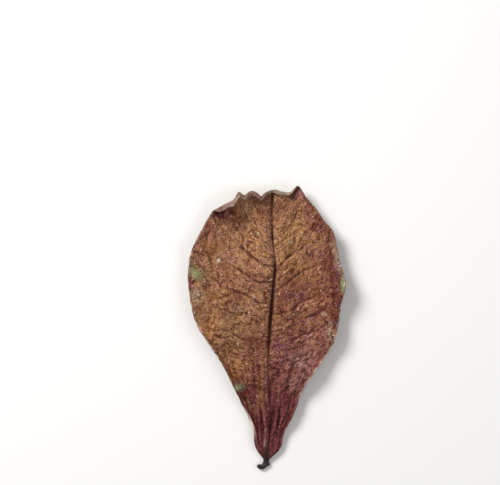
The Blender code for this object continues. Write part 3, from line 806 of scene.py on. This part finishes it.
# The material of the blade: a dried leaf, leathery and half matt, whose tannins and pigments have
# turned it ochre, russet and purple in blotches. Its veins are painted dark, its creases and hollows
# are darkened with painted shade, painted glints stand for the highlights of its waxy skin on small
# crests, and its under side is paler. Its patterns read three places that are stored on each point:
# "flat" is the plan, "grain" follows the side veins, and "fibres" the midrib. The under side's places
# lie further off, so that its patterns don't repeat the upper side's.
BLADE_COLOUR = "#B88762"
UNDER_COLOUR = "#84695C"
BURNT_COLOUR = "#241B1A"
LEAF_SPECULAR = 0.28
LEAF_SPECULAR_TINT = "#F2C8B0"
SWELLING_HEIGHT = 1.2 * MM
PORE_HEIGHT = 1.3 * MM
CREASE_DEPTH = 0.5 * MM
CREASE_STRETCH = (0.55, 1, 1)
FIBRES_ACROSS = 15
FIBRE_STRETCH = 0.09
UNDER_SIDE_AWAY = (0, 0, 40)


def add(tree, kind, links=(), inputs=(), take=0, **settings):
    """Adds a shader node with its settings, its input values and what is linked into it, each by its
    socket's identifier, and gives back one of the outputs that this kind of node then shows."""
    node = tree.nodes.new("ShaderNode" + kind)
    for name, value in settings.items():
        setattr(node, name, value)
    sockets = {socket.identifier: socket for socket in node.inputs}
    for name, value in dict(inputs).items():
        sockets[name].default_value = value
    for name, source in dict(links).items():
        tree.links.new(source, sockets[name])
    return [socket for socket in node.outputs if socket.enabled][take]


leaf, tree, surface = new_material("dried almond leaf, upper cuticle and pale under side")
flat = add(tree, "Attribute", take=1, attribute_name="flat")
grain = add(tree, "Attribute", take=1, attribute_name="grain")
fibres = add(tree, "Attribute", take=1, attribute_name="fibres")
share = {name: add(tree, "Attribute", take=2, attribute_name=name) for name in shares}


def field(place, size, seed, detail=3, rough=0.55):
    """Noise whose patches are about that size in millimetres, with a mean of a half."""
    return add(
        tree, "TexNoise", {"Vector": place},
        {"Scale": 1 / size, "W": seed, "Detail": detail, "Roughness": rough}, noise_dimensions="4D",
    )


def spread(value, low, high, least=0.0, most=1.0):
    """A value from low to high made one from least to most, with soft ends."""
    return add(
        tree, "MapRange", {"Value": value},
        {"From Min": low, "From Max": high, "To Min": least, "To Max": most}, interpolation_type="SMOOTHSTEP",
    )


def reckon(first, second, operation="MULTIPLY"):
    """One sum on two values, the second a value or a number."""
    if isinstance(second, (int, float)):
        return add(tree, "Math", {"Value": first}, {"Value_001": second}, operation=operation)
    return add(tree, "Math", {"Value": first, "Value_001": second}, operation=operation)


def creases(place, size, seed, half_width):
    """Thin lines: where a noise of that size crosses its middle value, within a half width."""
    away = reckon(reckon(field(place, size, seed, 1.5, 0.5), 0.5, "SUBTRACT"), 0, "ABSOLUTE")
    return spread(away, 0, half_width, 1, 0)


def patchy(region, size, seed, low, high, most):
    """A region's share broken up by noise at its borders: most where it is 1, and none where 0."""
    ragged_share = reckon(region, reckon(reckon(field(flat, size, seed, 1), 0.5, "SUBTRACT"), 2), "ADD")
    return reckon(spread(ragged_share, low, high, 0, most), spread(region, 0.02, 0.15))


def painted(colour, layers):
    """A colour with layers laid over it, each with its share, its colour and how the two mix."""
    paint = add(tree, "RGB")
    paint.default_value = linear(colour)
    for mask, layer_colour, way in layers:
        paint = add(
            tree, "Mix", {"Factor_Float": mask, "A_Color": paint}, {"B_Color": linear(layer_colour)},
            data_type="RGBA", blend_type=way,
        )
    return paint


# Fine creases run along the side veins, and pores lie between them. Both fade towards the stalk, where
# streaks run lengthwise. The crease lines are darkened with painted shade, and painted glints, standing
# for highlights of the waxy skin, keep to crests and off the midrib. The real creases and pores are
# finer still: these are as fine as the render can show.
stretched = add(tree, "Mapping", {"Vector": grain}, {"Scale": CREASE_STRETCH})
dry = spread(share["base"], 0, 0.6, 1, 0.3)
lengthwise = spread(share["base"], 0, 0.45)
long_creases = reckon(creases(stretched, 4.2, 1, 0.05), spread(field(flat, 6, 2), 0.46, 0.56))
short_creases = reckon(creases(stretched, 2.2, 3, 0.07), spread(field(flat, 4, 4), 0.46, 0.56))
pale_creases = reckon(creases(stretched, 1.7, 29, 0.1), dry)
# The crease lines, with the fold lines, are painted shade in the creases.
lines = reckon(reckon(long_creases, 0.5), reckon(short_creases, 0.45), "MAXIMUM")
lines = reckon(lines, share["painted_fold_shade"], "MAXIMUM")
pores = field(flat, 0.95, 35, 1, 0.65)
streaks = reckon(spread(field(fibres, 1.5, 25, 3), 0.44, 0.6), lengthwise)
pale_streaks = reckon(spread(field(fibres, 1.2, 26, 3), 0.5, 0.66, 0, 0.75), lengthwise)
painted_glints = reckon(spread(field(flat, 1.6, 5, 1, 0.6), 0.59, 0.68), spread(field(flat, 6, 6), 0.5, 0.62))
painted_glints = reckon(painted_glints, dry)
painted_glints = reckon(painted_glints, spread(share["midrib"], 0, 0.4, 1, 0))
painted_glints = reckon(painted_glints, spread(share["hollow_shade"], 0, 0.35, 1, 0.2))
upper_layers = (
    (spread(field(flat, 12, 7, 1), 0.42, 0.62, 0, 0.7), "#A26648", "MIX"),
    (patchy(share["rust"], 9, 36, 0.4, 0.9, 0.6), "#96543A", "MIX"),
    (patchy(share["olive"], 9, 8, 0.45, 0.9, 0.65), "#A88A5E", "MIX"),
    (patchy(share["ochre"], 6, 32, 0.4, 0.9, 0.7), "#BE8C58", "MIX"),
    (patchy(share["purple"], 7, 9, 0.42, 0.85, 0.94), "#843C38", "MIX"),
    (patchy(share["violet"], 5, 33, 0.4, 0.85, 0.85), "#985868", "MIX"),
    (reckon(spread(field(flat, 6, 13, 1), 0.5, 0.66, 0, 0.5), share["purple"]), "#96525A", "MIX"),
    (spread(field(flat, 4.6, 28, 1), 0.48, 0.64, 0, 0.5), "#A26A6A", "MIX"),
    (spread(field(flat, 4.6, 37, 1), 0.5, 0.64, 0, 0.4), "#98784E", "MIX"),
    (spread(field(flat, 4.6, 38, 1), 0.5, 0.64, 0, 0.4), "#BC8452", "MIX"),
    (reckon(share["base"], 0.86), "#652339", "MIX"),
    (pale_streaks, "#A4626A", "MIX"),
    (streaks, "#A07474", "MULTIPLY"),
    (reckon(spread(pores, 0.52, 0.32), dry), "#A68878", "MULTIPLY"),
    (reckon(spread(pores, 0.5, 0.7), dry), "#6E5C4A", "SCREEN"),
    (pale_creases, "#3C3026", "SCREEN"),
    # Painted light.
    (share["painted_light"], "#D89A5C", "MIX"),
    (share["dusty"], "#A98078", "MIX"),
    # Painted shade: dark crease and fold lines, darker patches, and hollows.
    (lines, "#7C4E3C", "MULTIPLY"),
    (share["painted_shade"], "#B89C9A", "MULTIPLY"),
    (share["hollow_shade"], "#E0C8BC", "MULTIPLY"),
    (share["vein"], "#42201A", "MIX"),
    (share["midrib"], "#26090A", "MIX"),
    # Painted highlights: the glints of the waxy skin.
    (painted_glints, "#ECCEC2", "MIX"),
    (share["green"], "#92A274", "MIX"),
    (share["pale"], "#D8C6A8", "MIX"),
    # Painted highlights on the margins' rims, and pale specks.
    (share["rim_highlights_and_specks"], "#CFB2A6", "MIX"),
)
under_layers = (
    (spread(field(flat, 6, 15), 0.4, 0.6, 0, 0.7), "#735A4E", "MIX"),
    (spread(field(flat, 4, 16), 0.46, 0.62, 0, 0.5), "#6A4A46", "MIX"),
    (patchy(share["purple"], 9, 24, 0.5, 0.95, 0.4), "#6E4A4C", "MIX"),
    (share["violet"], "#8C6C6A", "MIX"),
    (spread(field(flat, 1.3, 17), 0.48, 0.66, 0, 0.6), "#A89080", "MULTIPLY"),
    (spread(pores, 0.52, 0.36, 0, 0.8), "#B89688", "MULTIPLY"),
    (spread(pores, 0.5, 0.66, 0, 0.6), "#5A463C", "SCREEN"),
    # On the under side this share darkens the cross veins.
    (share["hollow_shade"], "#A08070", "MULTIPLY"),
    (share["rib"], "#9C7A5E", "MIX"),
    (share["pale"], "#A29280", "MIX"),
)
two_sides = {
    "Factor_Float": share["under"],
    "A_Color": painted(BLADE_COLOUR, upper_layers),
    "B_Color": painted(UNDER_COLOUR, under_layers),
}
paint = add(tree, "Mix", two_sides, data_type="RGBA")
paint = add(
    tree, "Mix", {"Factor_Float": share["burnt"], "A_Color": paint}, {"B_Color": linear(BURNT_COLOUR)},
    data_type="RGBA",
)
tree.links.new(paint, surface["Base Color"])
tree.links.new(spread(field(flat, 2.2, 18), 0.35, 0.65, 0.45, 0.75), surface["Roughness"])
surface["Specular IOR Level"].default_value = LEAF_SPECULAR
surface["Specular Tint"].default_value = linear(LEAF_SPECULAR_TINT)
swellings = reckon(field(flat, 2.2, 19, 2, 0.6), dry)
normal = add(tree, "Bump", {"Height": swellings}, {"Strength": 1, "Distance": SWELLING_HEIGHT})
for height, depth, sunk in (
    (reckon(pores, dry), PORE_HEIGHT, False),
    (long_creases, CREASE_DEPTH, True),
    (short_creases, CREASE_DEPTH, True),
):
    normal = add(
        tree, "Bump", {"Height": height, "Normal": normal}, {"Strength": 1, "Distance": depth}, invert=sunk
    )
tree.links.new(normal, surface["Normal"])

blade = new_piece("blade", blade_points, blade_faces, leaf)
places = {
    "flat": (x, y),
    "grain": (across * width, wavering),
    "fibres": (FIBRES_ACROSS * across, FIBRE_STRETCH * y),
}
for name, (place_x, place_y) in places.items():
    on_upper_side = np.stack([place_x, place_y, 0 * x], axis=-1).reshape(-1, 3)
    give(blade, name, np.concatenate([on_upper_side, on_upper_side + UNDER_SIDE_AWAY]))
for name, sides in shares.items():
    give(blade, name, np.concatenate([side.ravel() for side in sides]))


# The stalk: a short tough petiole, furrowed as it dried, near black, hooked to the left, and ending
# in the swollen scar where it broke from the twig. Its other end runs into the midrib. Its bark's
# pattern goes round it as round a straight rod, and is drawn out along it.
BARK_COLOUR = "#1C1816"
BARK_ROUGHNESS = 0.5
BARK_SPECULAR = 0.3
BARK_HEIGHT = 0.3 * MM
BARK_RADIUS = 1.9
BARK_SQUEEZE = 0.5

petiole, tree, surface = new_material("dried petiole, blackened bark")
place = add(tree, "Attribute", take=1, attribute_name="flat")
bark_layers = (
    (spread(field(place, 1.4, 21), 0.45, 0.62, 0, 0.5), "#3C3733", "MIX"),
    (spread(field(place, 0.5, 22), 0.5, 0.66, 0, 0.6), "#15110F", "MIX"),
    (spread(field(place, 2.2, 23), 0.52, 0.64, 0, 0.5), "#4A2B28", "MIX"),
)
tree.links.new(painted(BARK_COLOUR, bark_layers), surface["Base Color"])
surface["Roughness"].default_value = BARK_ROUGHNESS
surface["Specular IOR Level"].default_value = BARK_SPECULAR
bark = add(tree, "Bump", {"Height": field(place, 0.6, 27)}, {"Strength": 0.8, "Distance": BARK_HEIGHT})
tree.links.new(bark, surface["Normal"])

number = np.arange(STALK_RINGS * STALK_SIDES).reshape(STALK_RINGS, STALK_SIDES)
beside = np.roll(number, -1, axis=1)
stalk_faces = np.stack(
    [number[:-1].ravel(), beside[:-1].ravel(), beside[1:].ravel(), number[1:].ravel()], axis=1
)
stalk = new_piece("stalk", stalk_rings.reshape(-1, 3), stalk_faces, petiole)
round_stalk = (BARK_RADIUS * np.cos(angle), BARK_SQUEEZE * run[:, None], BARK_RADIUS * np.sin(angle))
give(stalk, "flat", np.stack(np.broadcast_arrays(*round_stalk), axis=-1).reshape(-1, 3))
